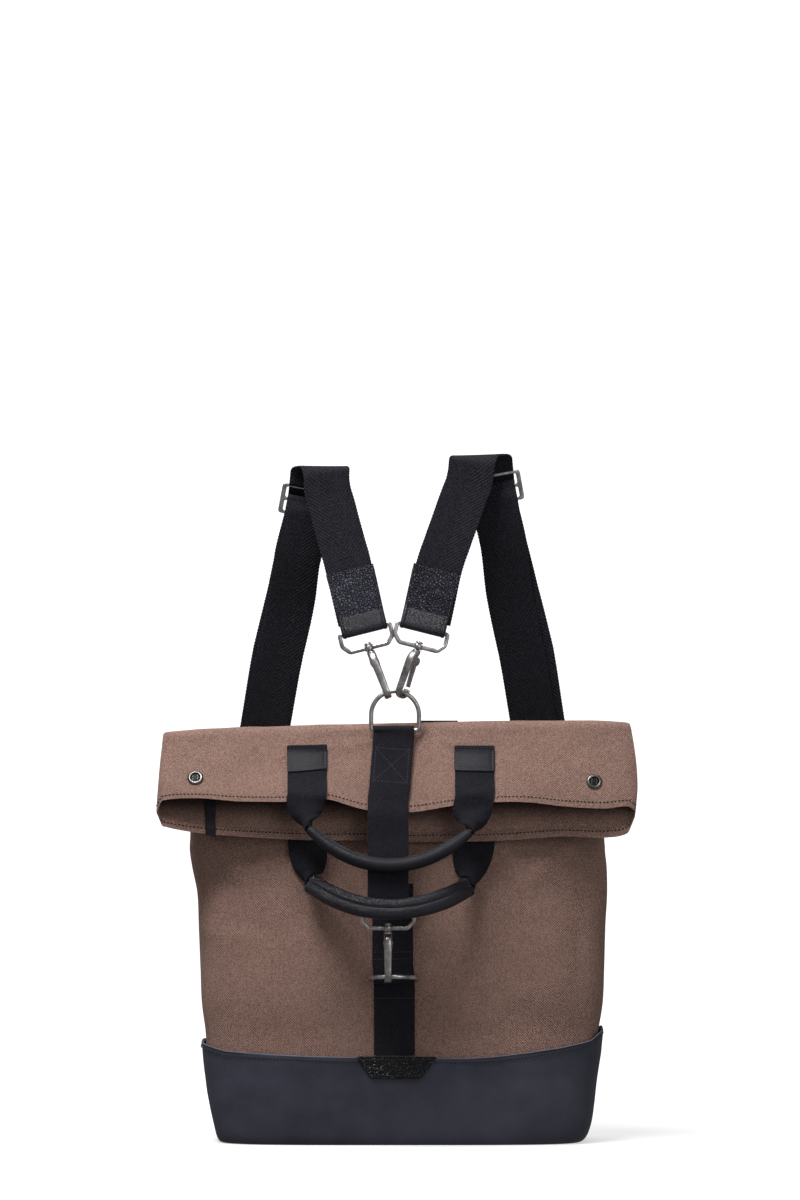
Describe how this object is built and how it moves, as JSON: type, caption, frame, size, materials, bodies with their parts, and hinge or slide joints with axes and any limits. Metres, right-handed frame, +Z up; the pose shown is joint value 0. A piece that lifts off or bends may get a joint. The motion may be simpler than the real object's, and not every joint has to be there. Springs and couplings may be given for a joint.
{
  "type": "convertible backpack",
  "caption": "Fold-over canvas backpack with a leather base, carry handles and clip-on webbing shoulder straps, standing with its straps held up.",
  "frame": {"origin": "on the floor under the middle of the bag's bounding box", "axes": "+Z up, -Y towards the front with the flap and handles, +X to the viewer's right"},
  "size_m": [0.4082, 0.1804, 0.5877],
  "materials": {
    "canvas": "taupe brown cotton twill, matt",
    "base_leather": "smooth waxed anthracite leather",
    "grain_leather": "black pebbled leather",
    "webbing": "black cotton twill webbing",
    "nickel": "brushed antique nickel"
  },
  "bodies": {
    "bag": {"canvas_front_panel": "canvas", "canvas_back_panel": "canvas", "leather_base": "base_leather", "leather_label": "grain_leather", "back_patch": "grain_leather", "top_ring": "nickel", "lower_ring": "nickel", "front_hook_body": "nickel", "front_hook_frame": "nickel", "front_strap_upper": "webbing", "front_strap_lower": "webbing", "front_handle_grip": "grain_leather", "front_handle_leg_left": "webbing", "front_handle_tab_left": "grain_leather", "front_handle_leg_right": "webbing", "front_handle_tab_right": "grain_leather", "lower_handle_grip": "grain_leather", "lower_handle_leg_left": "webbing", "lower_handle_leg_right": "webbing", "left_hook_body": "nickel", "left_hook_frame": "nickel", "shoulder_strap_left": "webbing", "strap_leather_left": "grain_leather", "slider_left": "nickel", "strap_ring_left": "nickel", "strap_tab_left": "grain_leather", "right_hook_body": "nickel", "right_hook_frame": "nickel", "shoulder_strap_right": "webbing", "strap_leather_right": "grain_leather", "slider_right": "nickel", "strap_ring_right": "nickel", "strap_tab_right": "grain_leather", "snap_ring_left": "nickel", "snap_ring_right": "nickel", "zip_pull": "grain_leather"},
    "front_gate": {"front_hook_gate": "nickel"},
    "left_gate": {"left_hook_gate": "nickel"},
    "right_gate": {"right_hook_gate": "nickel"}
  },
  "joints": [
    {"name": "front_gate_hinge", "type": "hinge", "parent": "bag", "child": "front_gate", "pos_m": [-0.00771, -0.07054, 0.17574], "axis": [-1, 0, 0], "range_deg": [0, 13], "stiffness_Nm_per_rad": 0.02, "springref_deg": -14.32},
    {"name": "left_gate_hinge", "type": "hinge", "parent": "bag", "child": "left_gate", "pos_m": [-0.01927, -0.01979, 0.41147], "axis": [-0.9315, -0.0564, -0.3593], "range_deg": [0, 13], "stiffness_Nm_per_rad": 0.02, "springref_deg": -14.32},
    {"name": "right_gate_hinge", "type": "hinge", "parent": "bag", "child": "right_gate", "pos_m": [0.01497, -0.02354, 0.41235], "axis": [-0.7826, 0.5667, 0.2578], "range_deg": [0, 13], "stiffness_Nm_per_rad": 0.02, "springref_deg": -14.32}
  ]
}
